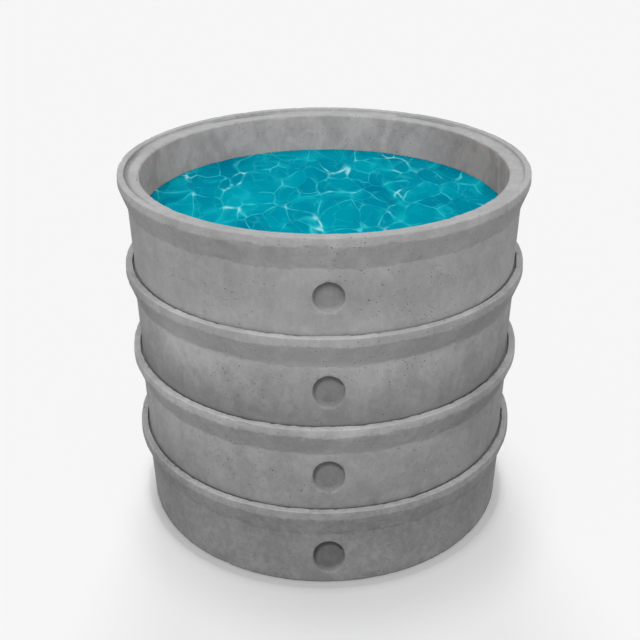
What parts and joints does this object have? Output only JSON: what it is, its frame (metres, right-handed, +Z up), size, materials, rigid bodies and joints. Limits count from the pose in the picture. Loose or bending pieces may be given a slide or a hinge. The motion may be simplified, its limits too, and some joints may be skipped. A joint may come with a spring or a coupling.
{
  "type": "precast concrete cistern",
  "caption": "Round open-topped cistern of stacked bell-collared concrete rings on a base unit with a cast floor, filled with water, with a blind pipe knock-out in each ring.",
  "frame": {"origin": "on the axis of the stack, at the level that the base unit stands on", "axes": "+Z up along the axis of the stack; -Y is the side with the knock-outs"},
  "size_m": [2.2358, 2.2358, 2.04],
  "materials": {
    "concrete_base": "cast concrete, darker and mottled",
    "concrete": "cast concrete, pale grey with bug holes",
    "water": "clear turquoise water"
  },
  "bodies": {
    "root": {"base_ring": "concrete_base", "lower_ring": "concrete", "upper_ring": "concrete", "top_ring": "concrete", "water": "water"}
  },
  "joints": []
}
